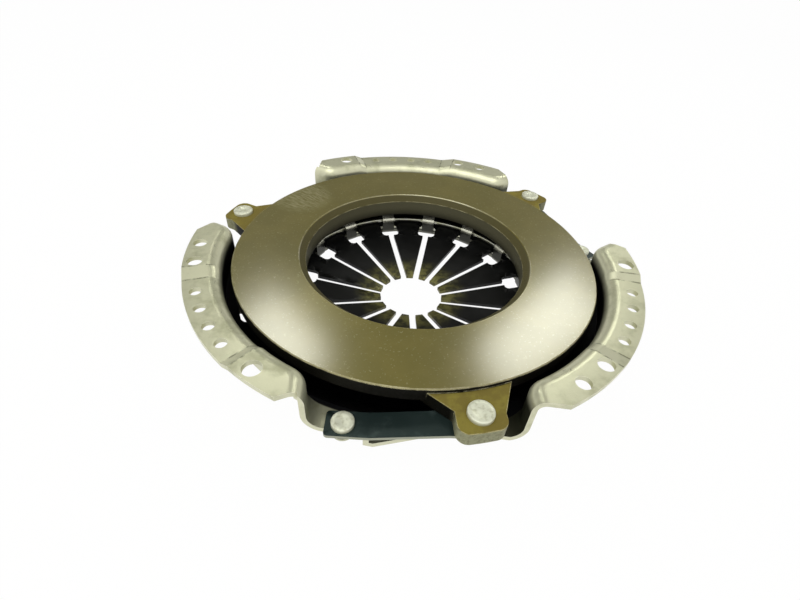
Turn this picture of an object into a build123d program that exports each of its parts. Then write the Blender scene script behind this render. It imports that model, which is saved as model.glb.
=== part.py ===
"""Clutch pressure plate: a diaphragm-spring clutch cover assembly, in millimetres.

The origin is on the clutch axis, in the plane of the wing pads that bolt to the flywheel.
+Z points at the flywheel. Wing 1 is on +Y and strap pocket 1 on -Y; both repeat every 120 degrees.
"""

import math
import os

from build123d import *

os.makedirs("parts", exist_ok=True)

# Layout around the axis
WING_COUNT = 3
FINGER_COUNT = 15
SLOT_START_ANGLE = 75.65

# Holes in the wings, on one circle; angles are from the wing's centre line
BOLT_CIRCLE_D = 268.0
BOLT_HOLE_D = 9.8
BOLT_ANGLE = 20.9
SECOND_BOLT_HOLE_D = 9.0
SECOND_BOLT_ANGLE = -20.9
DOWEL_HOLE_D = 8.2
DOWEL_ANGLE = -29.1
BALANCE_HOLE_D = 6.6
BALANCE_ANGLES = (-9.75, -3.3, 3.3, 9.75)

# Cover pressing: sheet, drum wall, wings and floor
SHEET = 2.8
WALL_INSET = 14.0
WING_MARGIN = 6.6
RIM_BEND = 7.0
CORNER_R = 12.0
WING_MIDDLE_DROP = 2.4
WING_MIDDLE_HALF_ANGLE = 14.6
BOLT_RAMP_ANGLE = 2.4
DOWEL_RAMP_ANGLE = 4.2
FLOOR_RIM_WIDTH = 8.0
FLOOR_RIM_RISE = 4.1
FLOOR_CORNER = 22.0
FLOOR_BEND = 4.0
VENT_LENGTH = 11.4
VENT_WIDTH = 2.8
VENT_INSET = 7.15
VENT_ANGLE = 199.85

# Strap pockets pressed down between the wings; left and right are along the strap, as seen from outside
POCKET_LEFT_MARGIN = 16.7
POCKET_RIGHT_MARGIN = 23.76
SEAT_MARGIN = 12.1
FOOT_BEND = 6.5
SHELF_STEP = 5.1
SHELF_SETBACK = 0.8
SEAT_CORNER_MARGIN = 1.9
SEAT_CORNER_WIDTH = 7.0
SHELF_LEFT_MARGIN = 21.6
SHELF_RIGHT_MARGIN = 5.4
SHELF_WIDTH = 2.6
SHELF_FOOT_WIDTH = 5.3
WING_LEFT_EDGE_ANGLE = 31.0
WING_RIGHT_EDGE_ANGLE = 24.7
LEFT_NOTCH_DEPTH = 3.0
SEAT_NOTCH_DEPTH = 1.0

# Pressure plate casting
RING_GAP = 5.6
FACE_DROP = 4.3
FACE_WIDTH = 39.9
BORE_LIP_WIDTH = 4.1
BORE_LIP_DROP = 4.1
PLATE_THICKNESS = 15.0
FACE_EDGE_CHAMFER = 0.6
BACK_CHAMFER = 7.2
RIDGE_INSET = 2.0
RIDGE_TIP_WIDTH = 2.4
RIDGE_ROOT_WIDTH = 8.0
LUG_STEP = 2.5
LUG_THICKNESS = 8.1
LUG_REACH = 9.7
LUG_LEFT_WIDTH = 11.6
LUG_RIGHT_WIDTH = 11.9
LUG_LEFT_GUSSET_INSET = 1.6
LUG_RIGHT_GUSSET_INSET = 0.2
LUG_LEFT_GUSSET_ANGLE = 42.0
LUG_RIGHT_GUSSET_ANGLE = 69.0
LUG_CORNER_R = 5.5

# Drive straps and their rivets; angles are from the pocket's centre line
LEAF_COUNT = 3
LEAF_THICKNESS = 0.6
STRAP_WIDTH = 13.8
STRAP_END = 8.4
STRAP_CORNER_R = 2.0
STRAP_DROP = 5.85
STRAP_BEND_R = 12.0
STRAP_BEND_MARGIN = 12.8
COVER_RIVET_OUT = 7.85
COVER_RIVET_ANGLE = -19.8
COVER_RIVET_SHANK_D = 7.0
COVER_RIVET_HEAD_D = 11.2
COVER_RIVET_HEAD_HEIGHT = 2.5
PLATE_RIVET_OUT = 13.2
PLATE_RIVET_ANGLE = 8.4
PLATE_RIVET_SHANK_D = 8.0
PLATE_RIVET_HEAD_D = 12.9
PLATE_RIVET_HEAD_HEIGHT = 2.3
RIVET_TAIL_HEIGHT = 1.8
RIVET_EDGE = 0.5
RIVET_CLEARANCE = 0.05

# Diaphragm spring and its fulcrum wires
SPRING_THICKNESS = 2.3
SPRING_MARGIN = 13.9
SPRING_KNEE_INSET = 8.0
SPRING_TIP_R = 21.5
SPRING_TIP_DROP = 40.0
FINGER_SLOPE = 0.1627
RING_SLOPE = 0.25
SLOT_WIDTH = 4.3
KEYHOLE_SIDE = 2.0
KEYHOLE_INSET = 15.5
KEYHOLE_CORNER_R = 3.2
WIRE_D = 3.5
FULCRUM_ARM = 16.5
TAB_WIDTH = 9.3
TAB_THICKNESS = 2.8
TAB_CURL_ANGLE = 130.0
TAB_ROOT = 2.0
RUNNING_CLEARANCE = 0.25
SEAT_CLEARANCE = 0.1
TAB_CLEARANCE = 0.3
KEYHOLE_CLEARANCE = 0.5

# Radii and angles worked out from the sizes above, from the bolt circle inwards
TURNS = [360 / WING_COUNT * k for k in range(WING_COUNT)]
SLOT_ANGLES = [SLOT_START_ANGLE + 360 / FINGER_COUNT * k for k in range(FINGER_COUNT)]
WING_R = BOLT_CIRCLE_D / 2 + WING_MARGIN
WALL_R = BOLT_CIRCLE_D / 2 - WALL_INSET
COVER_RIVET_R = WALL_R + COVER_RIVET_OUT
FACE_OUTER_R = WALL_R - RING_GAP
FACE_INNER_R = FACE_OUTER_R - FACE_WIDTH
BORE_R = FACE_INNER_R - BORE_LIP_WIDTH
PLATE_RIVET_R = FACE_OUTER_R + PLATE_RIVET_OUT
LUG_OUTER_R = PLATE_RIVET_R + LUG_REACH
SPRING_OUTER_R = FACE_OUTER_R - SPRING_MARGIN
RIDGE_R = SPRING_OUTER_R - RIDGE_INSET
WIRE_CIRCLE_R = RIDGE_R - FULCRUM_ARM
SPRING_KNEE_R = WIRE_CIRCLE_R - SPRING_KNEE_INSET
KEYHOLE_INNER_R = WIRE_CIRCLE_R - KEYHOLE_INSET
KEYHOLE_WIDTH = TAB_WIDTH + 2 * KEYHOLE_SIDE
FLOOR_INNER_R = WIRE_CIRCLE_R + FLOOR_RIM_WIDTH

# Heights worked out from the sizes above, from the flywheel down
FACE_Z = -FACE_DROP
PLATE_BACK_Z = FACE_Z - PLATE_THICKNESS
LUG_TOP_Z = FACE_Z - LUG_STEP
LUG_BOTTOM_Z = LUG_TOP_Z - LUG_THICKNESS
STRAP_TOP_Z = LUG_BOTTOM_Z - RIVET_CLEARANCE
STRAP_BOTTOM_Z = STRAP_TOP_Z - LEAF_COUNT * LEAF_THICKNESS
SEAT_Z = STRAP_BOTTOM_Z - STRAP_DROP
SHELF_Z = SEAT_Z - SHELF_STEP


def spring_mid_z(radius):
    """Height of the spring's middle surface in its free state."""
    knee_z = FACE_Z - SPRING_TIP_DROP + FINGER_SLOPE * (SPRING_KNEE_R - SPRING_TIP_R)
    if radius <= SPRING_KNEE_R:
        return knee_z - FINGER_SLOPE * (SPRING_KNEE_R - radius)
    return knee_z + RING_SLOPE * (radius - SPRING_KNEE_R)


RING_STRETCH = math.hypot(1, RING_SLOPE)
SPRING_HALF_HEIGHT = SPRING_THICKNESS / 2 * RING_STRETCH
WIRE_RISE = (SPRING_THICKNESS / 2 + WIRE_D / 2 + SEAT_CLEARANCE) * RING_STRETCH
UPPER_WIRE_Z = spring_mid_z(WIRE_CIRCLE_R) + WIRE_RISE
LOWER_WIRE_Z = spring_mid_z(WIRE_CIRCLE_R) - WIRE_RISE
RIM_TOP_Z = LOWER_WIRE_Z - WIRE_D / 2 - SEAT_CLEARANCE
RIDGE_TIP_R = RIDGE_R + RIDGE_TIP_WIDTH / 2
RIDGE_Z = spring_mid_z(RIDGE_TIP_R) + SPRING_HALF_HEIGHT + RUNNING_CLEARANCE
TAB_CURL_R = WIRE_D / 2 + TAB_CLEARANCE + TAB_THICKNESS / 2
TAB_R = WIRE_CIRCLE_R - TAB_CURL_R
KEYHOLE_OUTER_R = TAB_R + TAB_THICKNESS / 2 + KEYHOLE_CLEARANCE
FLOOR_Z = RIM_TOP_Z - FLOOR_RIM_RISE
FORM_BASE_Z = FLOOR_Z - 2 * SHEET
FORM_R = WING_R + 2 * SHEET


def polar(radius, angle):
    """Point at an angle from the pocket's centre line, in the pocket's own x and y."""
    return (radius * math.sin(math.radians(angle)), -radius * math.cos(math.radians(angle)))


# Places along the strap worked out from its two rivets; x runs along the strap and y out from the axis
cover_rivet_xy = Vector(*polar(COVER_RIVET_R, COVER_RIVET_ANGLE))
plate_rivet_xy = Vector(*polar(PLATE_RIVET_R, PLATE_RIVET_ANGLE))
strap_span = (plate_rivet_xy - cover_rivet_xy).length
POCKET_LEFT_X = cover_rivet_xy.X - POCKET_LEFT_MARGIN
POCKET_RIGHT_X = plate_rivet_xy.X + POCKET_RIGHT_MARGIN
SEAT_END_X = cover_rivet_xy.X + SEAT_MARGIN
SHELF_LEFT_X = plate_rivet_xy.X - SHELF_LEFT_MARGIN
SHELF_RIGHT_X = plate_rivet_xy.X + SHELF_RIGHT_MARGIN


def turned_plane(turn, z):
    """Plan view plane at height z, turned with one wing and its pocket."""
    return Plane.XY.rotated((0, 0, turn)).offset(z)


def radial_plane(angle):
    """Upright plane through the axis: x is the radius and y is the height."""
    direction = Vector(1, 0, 0).rotate(Axis.Z, angle)
    return Plane(origin=(0, 0, 0), x_dir=direction, z_dir=direction.cross(Vector(0, 0, 1)))


def drum_section(angle, level, inset, bottom):
    """Radial section of the solid below a wing at the given level, with its rim bend."""
    inner = WALL_R + inset
    outer = FORM_R + inset
    top = level - inset
    with BuildSketch(radial_plane(angle)) as section:
        with BuildLine():
            Polyline((inner, level - RIM_BEND), (inner, bottom), (outer, bottom), (outer, top))
            Line((outer, top), (WALL_R + RIM_BEND, top))
            CenterArc((WALL_R + RIM_BEND, level - RIM_BEND), RIM_BEND - inset, 90, 90)
        make_face()
    return section.sketch


def floor_section(inset, bottom):
    """Radial section of the solid below the drum's floor and its raised inner rim."""
    # Both slopes rise at 45 degrees, so an inset moves each bend along the floor by this much
    shift = inset * math.tan(math.radians(45 / 2))
    rise = RIM_TOP_Z - FLOOR_Z
    corner_z = FLOOR_Z + FLOOR_CORNER - shift
    hollow_bend = FLOOR_BEND + inset
    crown_bend = FLOOR_BEND + SHEET - inset
    rim_end = (TAB_R + TAB_ROOT - inset, RIM_TOP_Z - inset)
    wall_end = (WALL_R + inset, corner_z)
    with BuildSketch(Plane.XZ) as section:
        with BuildLine():
            FilletPolyline(
                wall_end,
                (WALL_R - FLOOR_CORNER + shift, FLOOR_Z - inset),
                (FLOOR_INNER_R - shift, FLOOR_Z - inset),
                (FLOOR_INNER_R - rise - shift, RIM_TOP_Z - inset),
                rim_end,
                radius=[hollow_bend, hollow_bend, crown_bend],
            )
            Polyline(
                rim_end,
                (rim_end[0], bottom),
                (wall_end[0] + SHEET / 2, bottom),
                (wall_end[0] + SHEET / 2, corner_z),
                wall_end,
            )
        make_face()
    return section.sketch


def drum_floor(inset, bottom):
    """Solid below the drum's floor and cone, cut level with the seat and the shelf at each pocket."""
    step_x = SEAT_END_X - inset
    left = POCKET_LEFT_X - 2 * SHEET - inset
    right = POCKET_RIGHT_X + 2 * SHEET + inset
    with BuildPart() as floor:
        revolve(floor_section(inset, bottom), axis=Axis.Z)
        for turn in TURNS:
            for level, start_x, end_x in ((SEAT_Z, left, step_x), (SHELF_Z, step_x, right)):
                with BuildSketch(turned_plane(turn, level - inset)):
                    with Locations(((start_x + end_x) / 2, -FORM_R)):
                        Rectangle(end_x - start_x, 2 * FORM_R)
                extrude(amount=-level, mode=Mode.SUBTRACT)
    return floor.part


def foot_section(plane, start, inset):
    """Section of the bend where a pocket wall at x = start runs out into the shelf at y = 0."""
    radius = FOOT_BEND + inset
    with BuildSketch(plane) as section:
        with BuildLine():
            Polyline((start, radius), (start, 0), (start + radius, 0))
            CenterArc((start + radius, radius), radius, 180, 90)
        make_face()
    return section.sketch


def pocket_feet(inset):
    """Bends where the two walls of each pocket run out into its seat and its shelf."""
    with BuildPart() as feet:
        for turn in TURNS:
            for side, wall_x, level in ((1, POCKET_LEFT_X, SEAT_Z), (-1, POCKET_RIGHT_X, SHELF_Z)):
                corner_x = wall_x - side * CORNER_R
                corner_y = -math.sqrt((WALL_R + CORNER_R) ** 2 - corner_x**2)
                corner = Vector(corner_x, corner_y, level - inset).rotate(Axis.Z, turn)
                away = Vector(side, 0, 0).rotate(Axis.Z, turn)
                outwards = Vector(0, -1, 0).rotate(Axis.Z, turn)
                foot_plane = Plane(origin=corner, x_dir=away, z_dir=away.cross(Vector(0, 0, 1)))
                foot = foot_section(foot_plane, CORNER_R - inset, inset)
                extrude(foot, amount=FORM_R, dir=outwards)
                corner_angle = math.degrees(math.atan2(-corner_y, -side * corner_x))
                revolve(foot, axis=Axis(corner, (0, 0, side)), revolution_arc=corner_angle)
        with BuildSketch(Plane.XY.offset(FORM_BASE_Z)):
            Circle(WALL_R + inset + SHELF_SETBACK)
        extrude(amount=-FORM_BASE_Z, mode=Mode.SUBTRACT)
    return feet.part


def cover_form(inset):
    """Solid below the sheet's upper face (inset 0) or below its lower face (inset of one sheet)."""
    inner = WALL_R + inset
    outer = FORM_R + inset
    bottom = FORM_BASE_Z - inset
    ramp_ends = {
        -1: -WING_MIDDLE_HALF_ANGLE - DOWEL_RAMP_ANGLE,
        1: WING_MIDDLE_HALF_ANGLE + BOLT_RAMP_ANGLE,
    }
    with BuildPart() as form:
        with BuildSketch(Plane.XY.offset(bottom)) as plan:
            Circle(outer)
            Circle(inner, mode=Mode.SUBTRACT)
            for turn in TURNS:
                left = POCKET_LEFT_X - inset
                right = POCKET_RIGHT_X + inset
                with Locations(Location((0, 0, 0), (0, 0, turn))):
                    with Locations(((left + right) / 2, -FORM_R)):
                        Rectangle(right - left, 2 * FORM_R, mode=Mode.SUBTRACT)
            inner_corners = plan.vertices().filter_by(lambda v: Vector(v.X, v.Y, 0).length < inner + SHEET)
            fillet(inner_corners, radius=CORNER_R - inset)
        extrude(amount=-inset - bottom)
        top_edges = form.faces().group_by(Axis.Z)[-1].edges()
        fillet(top_edges.filter_by(lambda e: (e @ 0.5).length < FORM_R - SHEET), radius=RIM_BEND - inset)
        for turn in TURNS:
            middle = 90 + turn
            with BuildSketch(Plane.XY.offset(bottom)):
                with BuildLine():
                    start = Vector(2 * FORM_R, 0).rotate(Axis.Z, middle + ramp_ends[-1])
                    end = Vector(2 * FORM_R, 0).rotate(Axis.Z, middle + ramp_ends[1])
                    Polyline((0, 0), start, end, close=True)
                make_face()
            extrude(amount=-bottom, mode=Mode.SUBTRACT)
            middle_start = middle - WING_MIDDLE_HALF_ANGLE
            middle_section = drum_section(middle_start, -WING_MIDDLE_DROP, inset, bottom)
            revolve(middle_section, axis=Axis.Z, revolution_arc=2 * WING_MIDDLE_HALF_ANGLE)
            for side in (-1, 1):
                ramp_foot = middle + side * WING_MIDDLE_HALF_ANGLE
                low_section = drum_section(ramp_foot, -WING_MIDDLE_DROP, inset, bottom)
                high_section = drum_section(middle + ramp_ends[side], 0, inset, bottom)
                loft([low_section, high_section], ruled=True)
        for turn in TURNS:
            for level, end_x in ((SHELF_Z, POCKET_RIGHT_X + 2 * SHEET), (SEAT_Z, SEAT_END_X - inset)):
                with BuildSketch(turned_plane(turn, bottom)):
                    Circle(outer)
                    Circle(inner + SHELF_SETBACK, mode=Mode.SUBTRACT)
                    start_x = POCKET_LEFT_X - 2 * SHEET
                    with Locations(((start_x + end_x) / 2, -FORM_R)):
                        Rectangle(end_x - start_x, 2 * FORM_R, mode=Mode.INTERSECT)
                extrude(amount=level - inset - bottom)
        add(pocket_feet(inset))
        add(drum_floor(inset, bottom))
    return form.part


# Cover: one sheet-steel pressing with three wings, three strap pockets and 15 curled tabs
upper_form = cover_form(0)
lower_form = cover_form(SHEET)

with BuildPart() as cover:
    add(upper_form)
    for turn in TURNS:
        with BuildSketch(turned_plane(turn, FORM_BASE_Z)):
            with BuildLine():
                Polyline(
                    polar(WING_R, -WING_LEFT_EDGE_ANGLE),
                    (POCKET_LEFT_X - SHEET, LEFT_NOTCH_DEPTH - WALL_R),
                    (POCKET_LEFT_X - SHEET, SEAT_NOTCH_DEPTH - WALL_R),
                    (SEAT_END_X + SEAT_CORNER_MARGIN, -WALL_R - SEAT_CORNER_WIDTH),
                    (SHELF_LEFT_X, -WALL_R - SHELF_WIDTH),
                    (SHELF_RIGHT_X, -WALL_R - SHELF_WIDTH),
                    (POCKET_RIGHT_X - SHELF_FOOT_WIDTH, -WALL_R - SHELF_FOOT_WIDTH),
                    (POCKET_RIGHT_X + SHEET, -WALL_R - SHELF_FOOT_WIDTH),
                    polar(WING_R, WING_RIGHT_EDGE_ANGLE),
                    polar(2 * FORM_R, WING_RIGHT_EDGE_ANGLE),
                    polar(2 * FORM_R, -WING_LEFT_EDGE_ANGLE),
                    close=True,
                )
            make_face()
        extrude(amount=-FORM_BASE_Z, mode=Mode.SUBTRACT)
    with BuildSketch(Plane.XY.offset(FORM_BASE_Z)):
        Circle(2 * FORM_R)
        Circle(WING_R, mode=Mode.SUBTRACT)
    extrude(amount=-FORM_BASE_Z, mode=Mode.SUBTRACT)
    add(lower_form, mode=Mode.SUBTRACT)
    rim_mid_z = RIM_TOP_Z - SHEET / 2
    for angle in SLOT_ANGLES:
        with BuildSketch(radial_plane(angle)):
            with BuildLine():
                FilletPolyline(
                    (WIRE_CIRCLE_R, rim_mid_z),
                    (TAB_R, rim_mid_z),
                    (TAB_R, UPPER_WIRE_Z),
                    radius=TAB_THICKNESS,
                )
                CenterArc((WIRE_CIRCLE_R, UPPER_WIRE_Z), TAB_CURL_R, 180, -TAB_CURL_ANGLE)
            trace(line_width=TAB_THICKNESS)
        extrude(amount=TAB_WIDTH / 2, both=True)
    wing_holes = [
        (BOLT_HOLE_D, BOLT_ANGLE),
        (SECOND_BOLT_HOLE_D, SECOND_BOLT_ANGLE),
        (DOWEL_HOLE_D, DOWEL_ANGLE),
    ]
    wing_holes += [(BALANCE_HOLE_D, angle) for angle in BALANCE_ANGLES]
    for diameter, angle in wing_holes:
        with BuildSketch(Plane.XY):
            with PolarLocations(BOLT_CIRCLE_D / 2, WING_COUNT, start_angle=90 + angle):
                Circle(diameter / 2)
        extrude(amount=-WING_MIDDLE_DROP - 2 * SHEET, mode=Mode.SUBTRACT)
    for turn in TURNS:
        with BuildSketch(turned_plane(turn, SEAT_Z)):
            with Locations((cover_rivet_xy.X, cover_rivet_xy.Y)):
                Circle(COVER_RIVET_SHANK_D / 2 + RIVET_CLEARANCE)
        extrude(amount=-2 * SHEET, mode=Mode.SUBTRACT)
    with BuildSketch(Plane.XY.offset(FORM_BASE_Z)):
        with PolarLocations(WALL_R - VENT_INSET, 1, start_angle=VENT_ANGLE):
            SlotOverall(VENT_LENGTH, VENT_WIDTH, rotation=90)
    extrude(amount=2 * SHEET + FLOOR_CORNER, mode=Mode.SUBTRACT)
cover.part.label = "cover"
export_step(cover.part, "parts/cover.step")

# Pressure plate: cast-iron ring with the ground friction face, a fulcrum ridge and three lugs
with BuildPart() as pressure_plate:
    with BuildSketch(Plane.XZ):
        with BuildLine():
            Polyline(
                (FACE_INNER_R, FACE_Z),
                (FACE_OUTER_R - FACE_EDGE_CHAMFER, FACE_Z),
                (FACE_OUTER_R, FACE_Z - FACE_EDGE_CHAMFER),
                (FACE_OUTER_R, PLATE_BACK_Z + BACK_CHAMFER),
                (FACE_OUTER_R - BACK_CHAMFER, PLATE_BACK_Z),
                (RIDGE_R + RIDGE_ROOT_WIDTH / 2, PLATE_BACK_Z),
                (RIDGE_TIP_R, RIDGE_Z),
                (RIDGE_R - RIDGE_TIP_WIDTH / 2, RIDGE_Z),
                (RIDGE_R - RIDGE_ROOT_WIDTH / 2, PLATE_BACK_Z),
                (BORE_R, PLATE_BACK_Z),
                (BORE_R, FACE_Z - BORE_LIP_DROP),
                close=True,
            )
        make_face()
    revolve(axis=Axis.Z)
    left = plate_rivet_xy.X - LUG_LEFT_WIDTH
    right = plate_rivet_xy.X + LUG_RIGHT_WIDTH
    left_y = plate_rivet_xy.Y + LUG_LEFT_GUSSET_INSET
    right_y = plate_rivet_xy.Y + LUG_RIGHT_GUSSET_INSET
    root_y = PLATE_THICKNESS - FACE_OUTER_R
    left_foot = left - (root_y - left_y) / math.tan(math.radians(LUG_LEFT_GUSSET_ANGLE))
    right_foot = right + (root_y - right_y) / math.tan(math.radians(LUG_RIGHT_GUSSET_ANGLE))
    for turn in TURNS:
        with BuildSketch(turned_plane(turn, LUG_BOTTOM_Z)) as lug_plan:
            with BuildLine():
                Polyline(
                    (left, -math.sqrt(LUG_OUTER_R**2 - left**2)),
                    (left, left_y),
                    (left_foot, root_y),
                    (right_foot, root_y),
                    (right, right_y),
                    (right, -math.sqrt(LUG_OUTER_R**2 - right**2)),
                )
                RadiusArc(
                    (right, -math.sqrt(LUG_OUTER_R**2 - right**2)),
                    (left, -math.sqrt(LUG_OUTER_R**2 - left**2)),
                    LUG_OUTER_R,
                )
            make_face()
            tip_corners = lug_plan.vertices().sort_by(lambda v: -Vector(v.X, v.Y, 0).length)[:2]
            fillet(tip_corners, radius=LUG_CORNER_R)
            with Locations((plate_rivet_xy.X, plate_rivet_xy.Y)):
                Circle(PLATE_RIVET_SHANK_D / 2 + RIVET_CLEARANCE, mode=Mode.SUBTRACT)
        extrude(amount=LUG_THICKNESS)
pressure_plate.part.label = "pressure_plate"
export_step(pressure_plate.part, "parts/pressure_plate.step")

# Diaphragm spring: a coned disc slit into fingers, with a keyhole at the root of each slit
with BuildPart() as diaphragm_spring:
    with BuildSketch(Plane.XZ):
        with BuildLine():
            Polyline(
                (0, spring_mid_z(0)),
                (SPRING_KNEE_R, spring_mid_z(SPRING_KNEE_R)),
                (SPRING_OUTER_R, spring_mid_z(SPRING_OUTER_R)),
            )
        trace(line_width=SPRING_THICKNESS)
        with Locations((SPRING_OUTER_R / 2, spring_mid_z(SPRING_KNEE_R))):
            Rectangle(SPRING_OUTER_R, SPRING_OUTER_R, mode=Mode.INTERSECT)
    revolve(axis=Axis.Z)
    with BuildSketch(Plane.XY.offset(spring_mid_z(0) - SPRING_THICKNESS)):
        RegularPolygon(
            SPRING_TIP_R, FINGER_COUNT, major_radius=False, rotation=SLOT_START_ANGLE
        )
        for angle in SLOT_ANGLES:
            with Locations(Location((0, 0, 0), (0, 0, angle))):
                with Locations(((KEYHOLE_INNER_R + KEYHOLE_CORNER_R) / 2, 0)):
                    Rectangle(KEYHOLE_INNER_R + KEYHOLE_CORNER_R, SLOT_WIDTH)
                with Locations(((KEYHOLE_INNER_R + KEYHOLE_OUTER_R) / 2, 0)):
                    RectangleRounded(
                        KEYHOLE_OUTER_R - KEYHOLE_INNER_R, KEYHOLE_WIDTH, KEYHOLE_CORNER_R
                    )
    extrude(amount=SPRING_OUTER_R, mode=Mode.SUBTRACT)
diaphragm_spring.part.label = "diaphragm_spring"
export_step(diaphragm_spring.part, "parts/diaphragm_spring.step")

# Fulcrum wires: two round rings that the spring pivots between
for wire_name, wire_z in (("fulcrum_wire_upper", UPPER_WIRE_Z), ("fulcrum_wire_lower", LOWER_WIRE_Z)):
    with BuildPart() as fulcrum_wire:
        with BuildSketch(Plane.XZ):
            with Locations((WIRE_CIRCLE_R, wire_z)):
                Circle(WIRE_D / 2)
        revolve(axis=Axis.Z)
    fulcrum_wire.part.label = wire_name
    export_step(fulcrum_wire.part, "parts/" + wire_name + ".step")

# Drive straps: three packs of spring-steel leaves from the cover's seats up to the plate's lugs
def leaf_line(plate_end_z):
    """One face of a leaf along the strap: level on the seat, a slope up, and level under the lug."""
    cover_end_z = plate_end_z - STRAP_DROP
    return FilletPolyline(
        (-STRAP_END, cover_end_z),
        (STRAP_BEND_MARGIN, cover_end_z),
        (strap_span - STRAP_BEND_MARGIN, plate_end_z),
        (strap_span + STRAP_END, plate_end_z),
        radius=STRAP_BEND_R,
    )


for strap, turn in enumerate(TURNS, start=1):
    start = cover_rivet_xy.rotate(Axis.Z, turn)
    end = plate_rivet_xy.rotate(Axis.Z, turn)
    along = (end - start).normalized()
    strap_side = Plane(origin=(start.X, start.Y, 0), x_dir=along, z_dir=along.cross(Vector(0, 0, 1)))
    for leaf in range(1, LEAF_COUNT + 1):
        leaf_top = STRAP_TOP_Z - (leaf - 1) * LEAF_THICKNESS
        with BuildPart() as strap_leaf:
            with BuildSketch(strap_side):
                with BuildLine():
                    upper = leaf_line(leaf_top)
                    lower = leaf_line(leaf_top - LEAF_THICKNESS)
                    Line(upper @ 0, lower @ 0)
                    Line(upper @ 1, lower @ 1)
                make_face()
            extrude(amount=STRAP_WIDTH / 2, both=True)
            fillet(strap_leaf.edges().filter_by(Axis.Z), radius=STRAP_CORNER_R)
            for centre, shank_d in ((start, COVER_RIVET_SHANK_D), (end, PLATE_RIVET_SHANK_D)):
                with BuildSketch(Plane((centre.X, centre.Y, FLOOR_Z))):
                    Circle(shank_d / 2 + RIVET_CLEARANCE)
                extrude(amount=-FLOOR_Z, mode=Mode.SUBTRACT)
        leaf_name = f"strap_{strap}_leaf_{leaf}"
        strap_leaf.part.label = leaf_name
        export_step(strap_leaf.part, "parts/" + leaf_name + ".step")


# Rivets: solid steel, with a made head above and a formed head below
def rivet(name, centre, shank_d, head_d, head_height, head_seat_z, tail_seat_z):
    """Writes one rivet that clamps everything between its two seats."""
    with BuildPart() as rivet_part:
        for diameter, low_z, high_z in (
            (head_d, head_seat_z, head_seat_z + head_height),
            (shank_d, tail_seat_z - RIVET_TAIL_HEIGHT, head_seat_z),
            (head_d, tail_seat_z - RIVET_TAIL_HEIGHT, tail_seat_z),
        ):
            with BuildSketch(Plane((centre.X, centre.Y, low_z))):
                Circle(diameter / 2)
            extrude(amount=high_z - low_z)
        chamfer(rivet_part.edges().group_by(Axis.Z)[-1], length=RIVET_EDGE)
        chamfer(rivet_part.edges().group_by(Axis.Z)[0], length=RIVET_EDGE)
    rivet_part.part.label = name
    export_step(rivet_part.part, "parts/" + name + ".step")


for number, turn in enumerate(TURNS, start=1):
    rivet(
        f"cover_rivet_{number}",
        cover_rivet_xy.rotate(Axis.Z, turn),
        COVER_RIVET_SHANK_D,
        COVER_RIVET_HEAD_D,
        COVER_RIVET_HEAD_HEIGHT,
        STRAP_TOP_Z - STRAP_DROP,
        SEAT_Z - SHEET,
    )
    rivet(
        f"plate_rivet_{number}",
        plate_rivet_xy.rotate(Axis.Z, turn),
        PLATE_RIVET_SHANK_D,
        PLATE_RIVET_HEAD_D,
        PLATE_RIVET_HEAD_HEIGHT,
        LUG_TOP_Z,
        STRAP_BOTTOM_Z,
    )
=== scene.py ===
"""Clutch pressure plate: finishes, straps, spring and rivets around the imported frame, in metres."""

import math

import bpy
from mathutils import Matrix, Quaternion, Vector


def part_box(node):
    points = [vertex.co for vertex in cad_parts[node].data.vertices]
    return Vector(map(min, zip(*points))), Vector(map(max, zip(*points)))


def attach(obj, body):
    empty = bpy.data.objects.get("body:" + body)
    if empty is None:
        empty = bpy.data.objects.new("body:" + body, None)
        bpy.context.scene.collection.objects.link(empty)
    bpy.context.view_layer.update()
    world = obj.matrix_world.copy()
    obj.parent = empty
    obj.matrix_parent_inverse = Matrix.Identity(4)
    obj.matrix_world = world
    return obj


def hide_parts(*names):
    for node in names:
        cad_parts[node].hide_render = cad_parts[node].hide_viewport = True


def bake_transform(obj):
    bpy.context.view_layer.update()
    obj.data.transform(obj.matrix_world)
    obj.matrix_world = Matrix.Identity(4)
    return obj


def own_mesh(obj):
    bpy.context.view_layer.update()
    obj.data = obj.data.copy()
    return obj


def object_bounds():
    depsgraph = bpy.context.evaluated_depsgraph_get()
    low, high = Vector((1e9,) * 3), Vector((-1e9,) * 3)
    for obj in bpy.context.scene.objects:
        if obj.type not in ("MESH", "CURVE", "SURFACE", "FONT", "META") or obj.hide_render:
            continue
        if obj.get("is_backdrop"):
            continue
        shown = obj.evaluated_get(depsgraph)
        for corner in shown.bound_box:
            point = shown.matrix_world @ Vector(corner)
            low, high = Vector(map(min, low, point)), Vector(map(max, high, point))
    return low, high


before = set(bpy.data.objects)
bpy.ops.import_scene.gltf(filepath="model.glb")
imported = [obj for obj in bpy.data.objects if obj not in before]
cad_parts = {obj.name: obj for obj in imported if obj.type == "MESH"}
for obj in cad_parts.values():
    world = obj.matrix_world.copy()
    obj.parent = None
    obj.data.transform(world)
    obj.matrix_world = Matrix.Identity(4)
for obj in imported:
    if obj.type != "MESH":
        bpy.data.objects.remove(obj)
cad_low, cad_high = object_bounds()


# Camera: close above the front strap pocket, looking down across the friction face, with a
# wide lens and a slight tilt, as the part was photographed.
MM = 0.001
LENS_MM = 20.3
SENSOR_WIDTH_MM = 36.0
NEAREST = 10 * MM
CAMERA_PLACE = Vector((-34.34, -243.1, 161.2)) * MM
CAMERA_AIM = Vector((-13.11, -51.13, -4.3)) * MM
CAMERA_TILT = math.radians(4.233)

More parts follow.
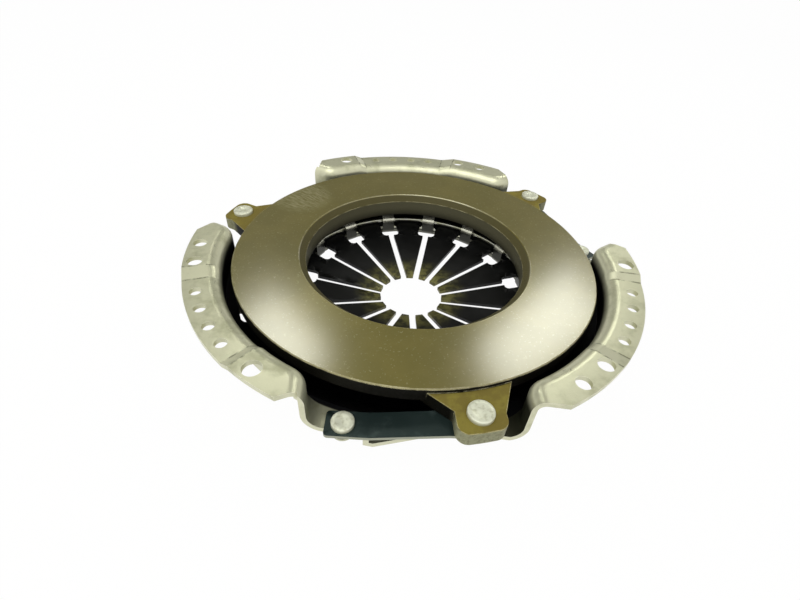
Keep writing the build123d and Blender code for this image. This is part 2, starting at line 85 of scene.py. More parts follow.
camera_data = bpy.data.cameras.new("camera")
camera_data.lens = LENS_MM
camera_data.sensor_width = SENSOR_WIDTH_MM
camera_data.sensor_fit = "HORIZONTAL"
camera_data.clip_start = NEAREST
camera = bpy.data.objects.new("camera", camera_data)
camera.location = CAMERA_PLACE
camera.rotation_mode = "QUATERNION"
level_view = (CAMERA_AIM - CAMERA_PLACE).to_track_quat("-Z", "Y")
camera.rotation_quaternion = level_view @ Quaternion((0, 0, 1), CAMERA_TILT)
bpy.context.scene.collection.objects.link(camera)
bpy.context.scene.camera = camera
bpy.context.scene.view_settings.view_transform = "Standard"


# Studio: a white floor under the part, a room that is dark behind it, and three soft boxes. The
# two narrow ones stand behind the part, where the ground face mirrors them as its bright fans.
FLOOR_SIZE = 12.0
FLOOR_GAP = 0.05 * MM
FLOOR_WHITE = 0.97
FLOOR_MATT = (0.9, 0.9, 0.88, 1)
WHITE = (1, 1, 1, 1)
ROOM_FRONT = (0.95, 0.95, 0.93, 1)
ROOM_BACK = (0.12, 0.12, 0.11, 1)
BACK_FROM = -0.1
BACK_FULL = 0.5
DARK_FROM_RISE = 0.12
DARK_FULL_RISE = 0.36
LAMP_TINT = (0.985, 1.0, 0.92)
SOFT_BOXES = {
    "top_soft_box": {
        "turn": 230, "rise": 66, "lean": 0, "away": 1.3, "wide": 1.1, "tall": 1.1, "radiance": 1.85,
    },
    "left_soft_box": {
        "turn": 111.5, "rise": 47.5, "lean": 28, "away": 1.1, "wide": 0.18, "tall": 0.25, "radiance": 6.3,
    },
    "right_soft_box": {
        "turn": 54, "rise": 42, "lean": -25, "away": 1.1, "wide": 0.18, "tall": 0.36, "radiance": 6.2,
    },
}


def plug(tree, socket, given):
    """Links a socket to an input, or sets the input to a constant."""
    if isinstance(given, bpy.types.NodeSocket):
        tree.links.new(given, socket)
    else:
        socket.default_value = given


def node(tree, kind, **settings):
    """Adds a shader node; settings name its options, or its input sockets with _ for a space."""
    made = tree.nodes.new(kind)
    for name, given in settings.items():
        if hasattr(made, name):
            setattr(made, name, given)
        else:
            plug(tree, made.inputs[name.replace("_", " ")], given)
    return made


def value(tree, operation, first, second=0.0, third=0.0):
    """The result of one Math node on sockets or numbers."""
    made = node(tree, "ShaderNodeMath", operation=operation)
    for socket, given in zip(made.inputs, (first, second, third)):
        plug(tree, socket, given)
    return made.outputs[0]


def product(tree, *masks):
    """Masks and strengths multiplied together."""
    result = masks[0]
    for mask in masks[1:]:
        result = value(tree, "MULTIPLY", result, mask)
    return result


def tint(tree, factor, first, second):
    """A colour mixed from two colours, each a socket or a constant."""
    made = node(tree, "ShaderNodeMix", data_type="RGBA")
    plug(tree, made.inputs[0], factor)
    plug(tree, made.inputs[6], first)
    plug(tree, made.inputs[7], second)
    return made.outputs[2]


for name, box in SOFT_BOXES.items():
    lamp = bpy.data.lights.new(name, "AREA")
    lamp.shape = "RECTANGLE"
    lamp.color = LAMP_TINT
    lamp.size = box["wide"]
    lamp.size_y = box["tall"]
    lamp.energy = box["radiance"] * math.pi * box["wide"] * box["tall"]
    turn = math.radians(box["turn"])
    rise = math.radians(box["rise"])
    outward = Vector((math.cos(turn) * math.cos(rise), math.sin(turn) * math.cos(rise), math.sin(rise)))
    lamp_object = bpy.data.objects.new(name, lamp)
    lamp_object.location = outward * box["away"]
    lamp_object.rotation_mode = "QUATERNION"
    lean = Quaternion((0, 0, 1), math.radians(box["lean"]))
    lamp_object.rotation_quaternion = outward.to_track_quat("Z", "Y") @ lean
    bpy.context.scene.collection.objects.link(lamp_object)

room = bpy.data.worlds.new("room")
room.use_nodes = True
tree = room.node_tree
tree.nodes.clear()
direction = node(tree, "ShaderNodeTexCoord").outputs["Generated"]
direction = node(tree, "ShaderNodeSeparateXYZ", Vector=direction).outputs
behind = node(tree, "ShaderNodeMapRange", Value=direction["Y"], From_Min=BACK_FROM, From_Max=BACK_FULL)
above = node(
    tree, "ShaderNodeMapRange", Value=direction["Z"], From_Min=DARK_FROM_RISE, From_Max=DARK_FULL_RISE)
dark = product(tree, behind.outputs["Result"], above.outputs["Result"])
walls = tint(tree, dark, ROOM_FRONT, ROOM_BACK)
background = node(tree, "ShaderNodeBackground", Color=walls, Strength=1.0)
tree.links.new(background.outputs[0], node(tree, "ShaderNodeOutputWorld").inputs["Surface"])
bpy.context.scene.world = room

bpy.ops.object.select_all(action="DESELECT")
bpy.ops.mesh.primitive_plane_add(size=FLOOR_SIZE, location=(0, 0, cad_low.z - FLOOR_GAP))
floor = bpy.context.object
floor.name = "floor"
floor_paint = bpy.data.materials.new("floor_paint")
floor_paint.use_nodes = True
tree = floor_paint.node_tree
tree.nodes.clear()
rays = node(tree, "ShaderNodeLightPath").outputs
seen = value(tree, "MAXIMUM", rays["Is Camera Ray"], rays["Is Glossy Ray"])
seen = value(tree, "MAXIMUM", seen, rays["Is Transmission Ray"])
matt = node(tree, "ShaderNodeBsdfDiffuse", Color=FLOOR_MATT)
white = node(tree, "ShaderNodeEmission", Color=WHITE, Strength=1.0)
floor_mix = node(tree, "ShaderNodeMixShader")
plug(tree, floor_mix.inputs[0], product(tree, seen, FLOOR_WHITE))
plug(tree, floor_mix.inputs[1], matt.outputs[0])
plug(tree, floor_mix.inputs[2], white.outputs[0])
tree.links.new(floor_mix.outputs[0], node(tree, "ShaderNodeOutputMaterial").inputs["Surface"])
floor.data.materials.append(floor_paint)
floor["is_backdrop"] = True


# Cover: one pressing of bare steel sheet, drawn into a drum with three wings and curled tabs.
# The sheet is pale and scuffed by the press tools. Painted shade darkens its ramp creases, the deep
# parts of the strap pockets and the sides by the lugs, and paints the inside of the drum black; pale
# edge lines are wear with painted highlight, and the tabs carry painted highlight and shade.
COVER_PALE = (0.63, 0.625, 0.455, 1)
COVER_DULL = (0.46, 0.46, 0.31, 1)
COVER_SCUFF_AND_CREASE_SHADE = (0.12, 0.12, 0.07, 1)
COVER_EDGE_WEAR_AND_HIGHLIGHT = (0.74, 0.73, 0.60, 1)
COVER_PAINTED_SHADE = (0.045, 0.047, 0.028, 1)
COVER_INSIDE_SHADE = (0.004, 0.004, 0.005, 1)
TAB_CROWN_HIGHLIGHT = (0.75, 0.74, 0.62, 1)
TAB_MID_SHADE = (0.030, 0.030, 0.024, 1)
TAB_ROOT_REFLECTION = (0.15, 0.15, 0.12, 1)
COVER_METALLIC = 0.7
COVER_ROUGHNESS = 0.37
SMUDGE_ROUGHNESS = 0.08
TAB_POLISH = -0.14
# Patches: how many to the metre, and the levels at which they start and are full.
SHEET_SMUDGES = (65.0, 0.46, 0.72)
SHEET_SPECKLES = (900.0, 0.62, 0.74)
SHEET_RIPPLES = (240.0, 0.30, 0.75)
CREASE_SHADE_PATCHES = (260.0, 0.40, 0.60)
BEND_WEAR = (220.0, 0.52, 0.60)
RIPPLE_STRENGTH = 0.35
RIPPLE_HEIGHT = 0.1 * MM
SPECKLE_STRENGTH = 0.3
# Painted shade lines along the ramp creases across each wing, in degrees on from the middle of the strap
# pocket before it.
POCKET_ANGLE = 30.0
POCKET_SPACING = 120.0
CREASE_SHADE_LINES = (77.0, 74.6, 45.4, 41.2)
CREASE_SHADE_HALF = 0.22
HAIRLINE_SCALE = 110.0
HAIRLINE_DETAIL = 2.0
HAIRLINE_WANDER = 1.6
HAIRLINE_FADE = (0.011, 0.003)
MARK_STRENGTH = 0.7
EDGE_WIDTH = 0.5 * MM
EDGE_STRENGTH = 0.7
# Bounds of each mask, from where it is clear to where it is full.
ON_WING_R = (121.5 * MM, 123.0 * MM)
BEND_R = (129.0 * MM, 124.0 * MM)
FACES_UP = (0.6, 0.9)
ON_TAB_R = (86.0 * MM, 85.0 * MM)
OFF_TAB_R = (86.0 * MM, 88.0 * MM)
TAB_MID_SHADE_Z = (-28.5 * MM, -31.0 * MM)
TAB_ROOT_REFLECTION_Z = (-37.0 * MM, -40.0 * MM)
SHADE_DEPTH_Z = (-7.0 * MM, -19.0 * MM)
SHADE_OUTWARD = (0.55, 0.15)
SHADE_DOWNWARD = (-0.5, -0.1)
SHADE_STRENGTH = 0.42
LUG_SIDE_START = (2.0, 10.0)
LUG_SIDE_END = (40.0, 30.0)
LUG_SIDE_SHADE_Z = (-5.0 * MM, -10.0 * MM)
LUG_SIDE_SHADE = 0.55
INSIDE_SHADE_R = (121.4 * MM, 120.4 * MM)
INSIDE_SHADE_INWARD = (-0.1, 0.2)
INSIDE_SHADE_Z = (-6.0 * MM, -11.0 * MM)


def effect(name, inputs, output):
    """A new node group with the given inputs and one value as its output."""
    made = bpy.data.node_groups.new(name, "ShaderNodeTree")
    for input_name, kind in inputs.items():
        made.interface.new_socket(input_name, in_out="INPUT", socket_type=kind)
    made.interface.new_socket(output, in_out="OUTPUT", socket_type="NodeSocketFloat")
    return made, made.nodes.new("NodeGroupInput").outputs, made.nodes.new("NodeGroupOutput").inputs[0]


def fade(tree, given, low, high):
    """0 where a value is at low and 1 where it is at high, with a smooth step between."""
    made = node(tree, "ShaderNodeMapRange", interpolation_type="SMOOTHSTEP", Value=given)
    plug(tree, made.inputs["From Min"], low)
    plug(tree, made.inputs["From Max"], high)
    return made.outputs["Result"]


def vector(tree, operation, first, second=(0, 0, 0)):
    """The result of one Vector Math node on sockets or constants."""
    made = node(tree, "ShaderNodeVectorMath", operation=operation)
    plug(tree, made.inputs[0], first)
    plug(tree, made.inputs[1], second)
    return made.outputs["Value" if operation in ("LENGTH", "DISTANCE", "DOT_PRODUCT") else "Vector"]


def flattened(tree, place):
    """A place without its height, which points straight out from the clutch axis."""
    return vector(tree, "MULTIPLY", place, (1, 1, 0))


radius_effect, given, result = effect("radius_from_axis", {"Place": "NodeSocketVector"}, "Radius")
distance = vector(radius_effect, "LENGTH", flattened(radius_effect, given["Place"]))
radius_effect.links.new(distance, result)

blotch_inputs = {"Place": "NodeSocketVector", "Scale": "NodeSocketFloat"}
blotch_inputs |= {"Low": "NodeSocketFloat", "High": "NodeSocketFloat"}
blotch_effect, given, result = effect("blotches", blotch_inputs, "Mask")
noise = node(blotch_effect, "ShaderNodeTexNoise", Vector=given["Place"], Scale=given["Scale"])
noise.inputs["Detail"].default_value = 4.0
noise.inputs["Roughness"].default_value = 0.62
blotch_effect.links.new(fade(blotch_effect, noise.outputs[0], given["Low"], given["High"]), result)

edge_effect, given, result = effect("edge_wear_and_highlight", {"Width": "NodeSocketFloat"}, "Mask")
rounded = node(edge_effect, "ShaderNodeBevel", samples=4, Radius=given["Width"]).outputs[0]
normal = node(edge_effect, "ShaderNodeNewGeometry").outputs["Normal"]
alike = vector(edge_effect, "DOT_PRODUCT", rounded, normal)
edge_effect.links.new(fade(edge_effect, alike, 0.985, 0.90), result)


def material(name):
    """A new material: its node tree, Principled shader and Object coordinates."""
    made = bpy.data.materials.new(name)
    made.use_nodes = True
    made.node_tree.nodes.clear()
    shader = node(made.node_tree, "ShaderNodeBsdfPrincipled")
    out = node(made.node_tree, "ShaderNodeOutputMaterial")
    made.node_tree.links.new(shader.outputs[0], out.inputs["Surface"])
    place = node(made.node_tree, "ShaderNodeTexCoord").outputs["Object"]
    return made, made.node_tree, shader.inputs, place


def radius_of(tree, place):
    """Distance from the clutch axis."""
    return node(tree, "ShaderNodeGroup", node_tree=radius_effect, Place=place).outputs[0]


def blotches(tree, place, scale, low, high):
    """Cloudy patches of about 1 / scale metres."""
    made = node(tree, "ShaderNodeGroup", node_tree=blotch_effect, Place=place, Scale=scale)
    made.inputs["Low"].default_value = low
    made.inputs["High"].default_value = high
    return made.outputs[0]


def edge_wear_and_highlight(tree, width):
    """Lines along the sharp edges, about as wide as given, for edge wear with a painted edge highlight."""
    return node(tree, "ShaderNodeGroup", node_tree=edge_effect, Width=width).outputs[0]


def bumps(tree, height, strength, distance):
    """A normal roughened by a height mask."""
    made = node(tree, "ShaderNodeBump", Height=height, Strength=strength, Distance=distance)
    return made.outputs["Normal"]


def dress(node_name, finish):
    """Gives a CAD node its finish in place of the plain one."""
    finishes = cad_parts[node_name].data.materials
    finishes.clear()
    finishes.append(finish)


cover_steel, tree, inputs, place = material("cover_steel")
axes = node(tree, "ShaderNodeSeparateXYZ", Vector=place).outputs
radius = radius_of(tree, place)
angle = value(tree, "DEGREES", value(tree, "ARCTAN2", axes["Y"], axes["X"]))
turn = value(tree, "FLOORED_MODULO", value(tree, "SUBTRACT", angle, POCKET_ANGLE), POCKET_SPACING)
normal = node(tree, "ShaderNodeNewGeometry").outputs["Normal"]
normal_z = node(tree, "ShaderNodeSeparateXYZ", Vector=normal).outputs["Z"]
outward = vector(tree, "NORMALIZE", flattened(tree, place))
faces_out = vector(tree, "DOT_PRODUCT", normal, outward)
faces_in = vector(tree, "DOT_PRODUCT", normal, vector(tree, "SUBTRACT", (0, 0, 1), outward))

smudge = blotches(tree, place, *SHEET_SMUDGES)
colour = tint(tree, smudge, COVER_PALE, COVER_DULL)
speckle = product(tree, blotches(tree, place, *SHEET_SPECKLES), SPECKLE_STRENGTH)
colour = tint(tree, speckle, colour, COVER_DULL)

# Painted shade along the ramp creases, in patches, joined with dark scuff hairlines near the bends.
crease_shade = 0.0
for crease_line in CREASE_SHADE_LINES:
    crease_shade = value(tree, "MAXIMUM", crease_shade, value(tree, "COMPARE", turn, crease_line, CREASE_SHADE_HALF))
crease_shade = product(tree, crease_shade, blotches(tree, place, *CREASE_SHADE_PATCHES))
noise = node(tree, "ShaderNodeTexNoise", Vector=place, Scale=HAIRLINE_SCALE)
noise.inputs["Detail"].default_value = HAIRLINE_DETAIL
noise.inputs["Distortion"].default_value = HAIRLINE_WANDER
off_line = value(tree, "ABSOLUTE", value(tree, "SUBTRACT", noise.outputs[0], 0.5))
hairlines = product(
    tree, fade(tree, off_line, *HAIRLINE_FADE), fade(tree, radius, *BEND_R),
    blotches(tree, place, *BEND_WEAR))
scuffs_and_crease_shade = value(tree, "MAXIMUM", crease_shade, hairlines)
scuffs_and_crease_shade = product(
    tree, scuffs_and_crease_shade, fade(tree, radius, *ON_WING_R), fade(tree, normal_z, *FACES_UP), MARK_STRENGTH)
colour = tint(tree, scuffs_and_crease_shade, colour, COVER_SCUFF_AND_CREASE_SHADE)
# Pale lines along the cover's edges: edge wear and a painted highlight of the rounded edges.
edges = product(tree, edge_wear_and_highlight(tree, EDGE_WIDTH), EDGE_STRENGTH)
colour = tint(tree, edges, colour, COVER_EDGE_WEAR_AND_HIGHLIGHT)

on_tab = fade(tree, radius, *ON_TAB_R)
off_tab = fade(tree, radius, *OFF_TAB_R)
# Painted light on the curled tabs: a painted highlight on the crown, painted shade below it and a painted
# reflection of light from below at the root.
tab_painted_light = tint(tree, fade(tree, axes["Z"], *TAB_MID_SHADE_Z), TAB_CROWN_HIGHLIGHT, TAB_MID_SHADE)
tab_painted_light = tint(tree, fade(tree, axes["Z"], *TAB_ROOT_REFLECTION_Z), tab_painted_light, TAB_ROOT_REFLECTION)
colour = tint(tree, on_tab, colour, tab_painted_light)

# Painted shade: darker deeper down in the strap pockets, on faces that neither face out nor down, and
# darker still on the pocket sides by the plate lugs.
by_lug = product(tree, fade(tree, turn, *LUG_SIDE_START), fade(tree, turn, *LUG_SIDE_END))
painted_shade = product(tree, fade(tree, axes["Z"], *LUG_SIDE_SHADE_Z), by_lug)
painted_shade = value(tree, "MAXIMUM", painted_shade, fade(tree, axes["Z"], *SHADE_DEPTH_Z))
painted_shade = product(
    tree, painted_shade, off_tab, fade(tree, faces_out, *SHADE_OUTWARD), fade(tree, normal_z, *SHADE_DOWNWARD),
    value(tree, "MULTIPLY_ADD", by_lug, LUG_SIDE_SHADE, SHADE_STRENGTH))
colour = tint(tree, painted_shade, colour, COVER_PAINTED_SHADE)
# Painted shade: the inner surfaces of the drum, below its rim, are painted near black.
inside_shade = product(
    tree, off_tab, fade(tree, radius, *INSIDE_SHADE_R), fade(tree, faces_in, *INSIDE_SHADE_INWARD),
    fade(tree, axes["Z"], *INSIDE_SHADE_Z))
plug(tree, inputs["Base Color"], tint(tree, inside_shade, colour, COVER_INSIDE_SHADE))
inputs["Metallic"].default_value = COVER_METALLIC
roughness = value(tree, "MULTIPLY_ADD", smudge, SMUDGE_ROUGHNESS, COVER_ROUGHNESS)
plug(tree, inputs["Roughness"], value(tree, "MULTIPLY_ADD", on_tab, TAB_POLISH, roughness))
ripples = blotches(tree, place, *SHEET_RIPPLES)
plug(tree, inputs["Normal"], bumps(tree, ripples, RIPPLE_STRENGTH, RIPPLE_HEIGHT))
dress("cover", cover_steel)


# Pressure plate: a cast-iron ring, ground flat in circles on the side that grips the clutch disc
# and left as cast on its back and lugs. An oil film turns the iron olive brown.
FACE_OLIVE = (0.180, 0.152, 0.028, 1)
FACE_WARM = (0.205, 0.170, 0.034, 1)
FACE_SPECK = (0.46, 0.43, 0.22, 1)
LUG_BROWN = (0.160, 0.126, 0.028, 1)
CAST_GREY = (0.24, 0.24, 0.15, 1)
CAST_SHADE = (0.15, 0.14, 0.08, 1)
CAST_PAINTED_SHADE = (0.005, 0.0045, 0.003, 1)
LIP_OLIVE = (0.074, 0.064, 0.025, 1)
BORE_DARK = (0.095, 0.089, 0.054, 1)
IRON_EDGE_WEAR_AND_HIGHLIGHT = (0.62, 0.57, 0.34, 1)
FACE_METALLIC = 0.5
CAST_ROUGHNESS = 0.50
FACE_POLISH = -0.14
FILM_IOR = 2.1
FILM_ROUGHNESS = 0.2
IRON_SHINE = 0.12
GRINDING_STRETCH = 0.8
FACE_MOTTLE = (40.0, 0.40, 0.70)
FACE_SPECKS = (800.0, 0.61, 0.68)
SPECK_STRENGTH = 0.45
LUG_MOTTLE = (110.0, 0.45, 0.65)
CAST_GRAIN = (700.0, 0.45, 0.70)
GRAIN_STRENGTH = 0.4
GRAIN_HEIGHT = 0.15 * MM
# A patch of the face that was wiped outwards, in streaks drawn out along the radius.
RUBBED_PLACE = (-80 * MM, 68 * MM, 0)
RUBBED_REACH = (27.0 * MM, 14.0 * MM)
RUBBED_STREAKS = (420.0, 0.30, 0.75)
RUBBED_STRENGTH = 0.75
STREAK_ACROSS = 0.2
STREAK_ALONG = 0.3
IRON_EDGE_WIDTH = 0.7 * MM
IRON_EDGE_PATCHES = (150.0, 0.36, 0.60)
IRON_EDGE_STRENGTH = 0.8
GROUND_Z = (-4.9 * MM, -4.7 * MM)
LUG_TOP_Z = (-7.2 * MM, -6.9 * MM)
LIP_Z = (-8.7 * MM, -8.4 * MM)
BORE_SHADE_Z = (-12.4 * MM, -22.4 * MM)
HIGH_EDGE_Z = (-11.0 * MM, -9.0 * MM)
OUTER_EDGE_R = (123.0 * MM, 128.0 * MM)
LUG_ROOT_R = (130.0 * MM, 123.0 * MM)
RING_R = (115.1 * MM, 114.7 * MM)
BORE_R = (75.5 * MM, 74.5 * MM)

plate_iron, tree, inputs, place = material("plate_iron")
axes = node(tree, "ShaderNodeSeparateXYZ", Vector=place).outputs
radius = radius_of(tree, place)
face_colour = tint(tree, blotches(tree, place, *FACE_MOTTLE), FACE_OLIVE, FACE_WARM)
specks = product(tree, blotches(tree, place, *FACE_SPECKS), SPECK_STRENGTH)
face_colour = tint(tree, specks, face_colour, FACE_SPECK)
turn = value(tree, "ARCTAN2", axes["Y"], axes["X"])
wiped = node(tree, "ShaderNodeCombineXYZ", X=product(tree, turn, STREAK_ACROSS))
plug(tree, wiped.inputs["Y"], product(tree, radius, STREAK_ALONG))
rubbed = product(
    tree, fade(tree, vector(tree, "DISTANCE", place, RUBBED_PLACE), *RUBBED_REACH),
    blotches(tree, wiped.outputs[0], *RUBBED_STREAKS), RUBBED_STRENGTH)
face_colour = tint(tree, rubbed, face_colour, FACE_SPECK)

lug_colour = tint(tree, blotches(tree, place, *LUG_MOTTLE), LUG_BROWN, FACE_WARM)
cast_grain = blotches(tree, place, *CAST_GRAIN)
cast_colour = tint(tree, cast_grain, CAST_GREY, CAST_SHADE)
# Painted shade: the lug sides near the ring are painted near black.
cast_colour = tint(tree, fade(tree, radius, *LUG_ROOT_R), cast_colour, CAST_PAINTED_SHADE)
colour = tint(tree, fade(tree, axes["Z"], *LUG_TOP_Z), cast_colour, lug_colour)
# Painted shade: the ring's outer wall and back are painted near black.
colour = tint(tree, fade(tree, radius, *RING_R), colour, CAST_PAINTED_SHADE)
# Painted shade: the bore wall darkens to near black towards its bottom.
bore_colour = tint(tree, fade(tree, axes["Z"], *BORE_SHADE_Z), BORE_DARK, CAST_PAINTED_SHADE)
bore_colour = tint(tree, fade(tree, axes["Z"], *LIP_Z), bore_colour, LIP_OLIVE)
colour = tint(tree, fade(tree, radius, *BORE_R), colour, bore_colour)
ground = fade(tree, axes["Z"], *GROUND_Z)
colour = tint(tree, ground, colour, face_colour)
# Pale lines along the face edges, the lip and the outer lug edges: edge wear and painted edge highlight,
# broken in patches.
edge_line_reach = value(
    tree, "MAXIMUM", fade(tree, axes["Z"], *HIGH_EDGE_Z), fade(tree, radius, *OUTER_EDGE_R))
edges = product(
    tree, edge_wear_and_highlight(tree, IRON_EDGE_WIDTH), edge_line_reach, blotches(tree, place, *IRON_EDGE_PATCHES),
    IRON_EDGE_STRENGTH)
plug(tree, inputs["Base Color"], tint(tree, edges, colour, IRON_EDGE_WEAR_AND_HIGHLIGHT))
plug(tree, inputs["Metallic"], product(tree, ground, FACE_METALLIC))
plug(tree, inputs["Roughness"], value(tree, "MULTIPLY_ADD", ground, FACE_POLISH, CAST_ROUGHNESS))
plug(tree, inputs["Coat Weight"], ground)
inputs["Coat IOR"].default_value = FILM_IOR
inputs["Coat Roughness"].default_value = FILM_ROUGHNESS
inputs["Specular IOR Level"].default_value = IRON_SHINE
inputs["Anisotropic"].default_value = GRINDING_STRETCH
plug(tree, inputs["Tangent"], flattened(tree, place))
as_cast = product(tree, cast_grain, value(tree, "SUBTRACT", 1.0, ground))
plug(tree, inputs["Normal"], bumps(tree, as_cast, GRAIN_STRENGTH, GRAIN_HEIGHT))
dress("pressure_plate", plate_iron)


# Diaphragm spring: a coned disc of dark spring steel, slit into fingers, with its finger tips heat
# tinted in patches.
SPRING_BLACK = (0.010, 0.010, 0.010, 1)
SPRING_GOLD = (0.15, 0.14, 0.045, 1)
SPRING_METALLIC = 0.6
SPRING_ROUGHNESS = 0.34
OIL_ROUGHNESS = 0.15
OIL_SMEARS = (90.0, 0.4, 0.7)
HEAT_TINTS = (170.0, 0.40, 0.62)
LEAST_TINT = 0.35
TINTED_R = (42.0 * MM, 22.0 * MM)
SOFT_EDGE = math.radians(30)
WELD = 0.001 * MM


def merged_copy(node_name, piece_name):
    """A new object with a copy of a CAD node's mesh, its loose triangles joined up."""
    piece = bpy.data.objects.new(piece_name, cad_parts[node_name].data.copy())
    bpy.context.scene.collection.objects.link(piece)
    bpy.ops.object.select_all(action="DESELECT")
    piece.select_set(True)
    bpy.context.view_layer.objects.active = piece
    bpy.ops.object.mode_set(mode="EDIT")
    bpy.ops.mesh.select_all(action="SELECT")
    bpy.ops.mesh.remove_doubles(threshold=WELD)
    bpy.ops.object.mode_set(mode="OBJECT")
    bpy.ops.object.shade_smooth_by_angle(angle=SOFT_EDGE)
    piece.data.materials.clear()
    return piece


spring_steel, tree, inputs, place = material("spring_steel")
tinted = product(
    tree, fade(tree, radius_of(tree, place), *TINTED_R),
    value(tree, "ADD", blotches(tree, place, *HEAT_TINTS), LEAST_TINT))
plug(tree, inputs["Base Color"], tint(tree, tinted, SPRING_BLACK, SPRING_GOLD))
inputs["Metallic"].default_value = SPRING_METALLIC
smears = blotches(tree, place, *OIL_SMEARS)
plug(tree, inputs["Roughness"], value(tree, "MULTIPLY_ADD", smears, OIL_ROUGHNESS, SPRING_ROUGHNESS))
spring = merged_copy("diaphragm_spring", "spring_disc")
spring.data.materials.append(spring_steel)
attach(spring, "cover")
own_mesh(spring)
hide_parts("diaphragm_spring")


# Fulcrum wires: two rings of bright drawn wire, one on each side of the spring, held by the
# cover's curled tabs.
WIRE_BRIGHT = (0.58, 0.58, 0.51, 1)
WIRE_DULL = (0.46, 0.46, 0.31, 1)
WIRE_ROUGHNESS = 0.3
WIRE_MOTTLE = (300.0, 0.35, 0.7)

wire_steel, tree, inputs, place = material("wire_steel")
plug(tree, inputs["Base Color"], tint(tree, blotches(tree, place, *WIRE_MOTTLE), WIRE_BRIGHT, WIRE_DULL))
inputs["Metallic"].default_value = 1.0
inputs["Roughness"].default_value = WIRE_ROUGHNESS
dress("fulcrum_wire_upper", wire_steel)
dress("fulcrum_wire_lower", wire_steel)


# Drive straps: three packs of blued spring-steel leaves. Each is riveted to the cover at one end
# and to a lug of the plate at the other, and is cut across between the ends so that it can bend there as
# the plate moves.
STRAP_BLUE = (0.014, 0.027, 0.026, 1)
STRAP_SHEEN = (0.042, 0.062, 0.060, 1)
STRAP_CUT = (0.30, 0.31, 0.24, 1)
STRAP_METALLIC = 0.5
STRAP_ROUGHNESS = 0.34
CLOUD_ROUGHNESS = 0.12
BLUE_CLOUDS = (90.0, 0.50, 0.75)
DULL_CLOUDS = (60.0, 0.4, 0.7)
CUT_SIDE = (0.7, 0.4)
STRAP_BENDS = 12
BEND_START = 0.2
BEND_END = 0.8

strap_steel, tree, inputs, place = material("strap_steel")
normal = node(tree, "ShaderNodeNewGeometry").outputs["Normal"]
normal_z = node(tree, "ShaderNodeSeparateXYZ", Vector=normal).outputs["Z"]
cut_side = fade(tree, value(tree, "ABSOLUTE", normal_z), *CUT_SIDE)
blued = tint(tree, blotches(tree, place, *BLUE_CLOUDS), STRAP_BLUE, STRAP_SHEEN)
plug(tree, inputs["Base Color"], tint(tree, cut_side, blued, STRAP_CUT))
inputs["Metallic"].default_value = STRAP_METALLIC
clouds = blotches(tree, place, *DULL_CLOUDS)
plug(tree, inputs["Roughness"], value(tree, "MULTIPLY_ADD", clouds, CLOUD_ROUGHNESS, STRAP_ROUGHNESS))
for strap in (1, 2, 3):
    cover_end = sum(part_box(f"cover_rivet_{strap}"), Vector()) / 2
    plate_end = sum(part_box(f"plate_rivet_{strap}"), Vector()) / 2
    along = (plate_end - cover_end).xy.to_3d()
    bend_start = cover_end + BEND_START * along
    bend_end = cover_end + BEND_END * along
    for leaf in (1, 2, 3):
        node_name = f"strap_{strap}_leaf_{leaf}"
        piece = merged_copy(node_name, node_name + "_bent")
        bpy.ops.object.mode_set(mode="EDIT")
        for step in range(STRAP_BENDS + 1):
            bpy.ops.mesh.select_all(action="SELECT")
            cut = bend_start.lerp(bend_end, step / STRAP_BENDS)
            bpy.ops.mesh.bisect(plane_co=cut, plane_no=along)
        bpy.ops.object.mode_set(mode="OBJECT")
        piece.data.materials.append(strap_steel)
        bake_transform(piece)
        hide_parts(node_name)


# Rivets: solid steel, one through each end of a strap, into the cover's seat or the plate's lug.
# The made head is dished by the riveting punch; the tail is upset flat below.
RIVET_BRIGHT = (0.69, 0.70, 0.57, 1)
RIVET_DULL = (0.50, 0.50, 0.37, 1)
RIVET_METALLIC = 0.4
RIVET_ROUGHNESS = 0.36
PUNCH_ROUGHNESS = 0.12
DULL_SPOTS = (420.0, 0.45, 0.68)
PUNCH_SPOTS = (300.0, 0.4, 0.7)
RIVET_SIDE_SHADE = (0.35, 0.0)
RIVET_SIDES = 48
RIVET_EDGE = 0.5 * MM
RIVET_TAIL = 1.8 * MM
DISH_DEPTH = 0.3 * MM
DISH_RIM = 0.55
DISH_FLOOR = 0.40
ROUND_EDGE = math.radians(35)
RIVETS = {
    "cover": {"body": "cover", "shank_r": 3.5 * MM, "head": 2.5 * MM},
    "plate": {"body": "pressure_plate", "shank_r": 4.0 * MM, "head": 2.3 * MM},
}

rivet_steel, tree, inputs, place = material("rivet_steel")
colour = tint(tree, blotches(tree, place, *DULL_SPOTS), RIVET_BRIGHT, RIVET_DULL)
normal = node(tree, "ShaderNodeNewGeometry").outputs["Normal"]
normal_z = node(tree, "ShaderNodeSeparateXYZ", Vector=normal).outputs["Z"]
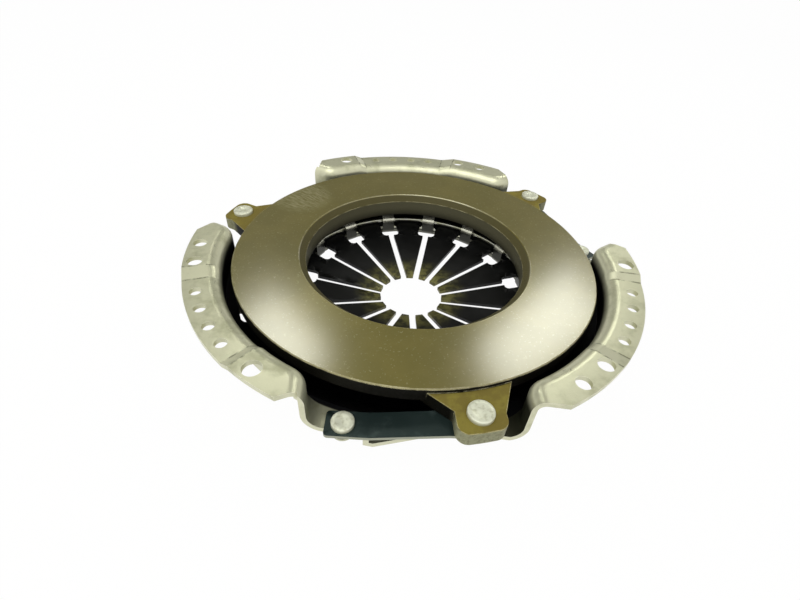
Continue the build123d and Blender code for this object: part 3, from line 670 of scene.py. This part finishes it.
# Painted shade: the rivets' sides are darkened to the dull colour, their tops left bright.
plug(tree, inputs["Base Color"], tint(tree, fade(tree, normal_z, *RIVET_SIDE_SHADE), colour, RIVET_DULL))
inputs["Metallic"].default_value = RIVET_METALLIC
spots = blotches(tree, place, *PUNCH_SPOTS)
plug(tree, inputs["Roughness"], value(tree, "MULTIPLY_ADD", spots, PUNCH_ROUGHNESS, RIVET_ROUGHNESS))
for kind, sizes in RIVETS.items():
    for number in (1, 2, 3):
        node_name = f"{kind}_rivet_{number}"
        low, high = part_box(node_name)
        centre = (low + high) / 2
        head_r = (high.x - low.x) / 2
        head_seat = high.z - sizes["head"]
        rings = (
            (low.z + RIVET_EDGE, head_r),
            (low.z + RIVET_TAIL, head_r),
            (low.z + RIVET_TAIL, sizes["shank_r"]),
            (head_seat, sizes["shank_r"]),
            (head_seat, head_r),
            (high.z - RIVET_EDGE, head_r),
            (high.z - 0.25 * RIVET_EDGE, head_r - 0.45 * RIVET_EDGE),
            (high.z, head_r - RIVET_EDGE),
            (high.z, DISH_RIM * head_r),
            (high.z - DISH_DEPTH, DISH_FLOOR * head_r),
        )
        ring_z = low.z
        ring_r = head_r - RIVET_EDGE
        bpy.ops.object.select_all(action="DESELECT")
        bpy.ops.mesh.primitive_circle_add(
            vertices=RIVET_SIDES, radius=ring_r, fill_type="NGON", enter_editmode=True,
            location=(centre.x, centre.y, ring_z),
        )
        for next_z, next_r in rings:
            bpy.ops.mesh.extrude_region_move(TRANSFORM_OT_translate={"value": (0, 0, next_z - ring_z)})
            ratio = next_r / ring_r
            bpy.ops.transform.resize(value=(ratio, ratio, 1), center_override=(centre.x, centre.y, next_z))
            ring_z = next_z
            ring_r = next_r
        bpy.ops.mesh.select_all(action="SELECT")
        bpy.ops.mesh.normals_make_consistent(inside=False)
        bpy.ops.object.mode_set(mode="OBJECT")
        bpy.ops.object.transform_apply(location=True, rotation=True, scale=True)
        bpy.ops.object.shade_smooth_by_angle(angle=ROUND_EDGE)
        piece = bpy.context.object
        piece.name = node_name + "_punched"
        piece.data.materials.append(rivet_steel)
        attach(piece, sizes["body"])
        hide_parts(node_name)


low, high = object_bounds()
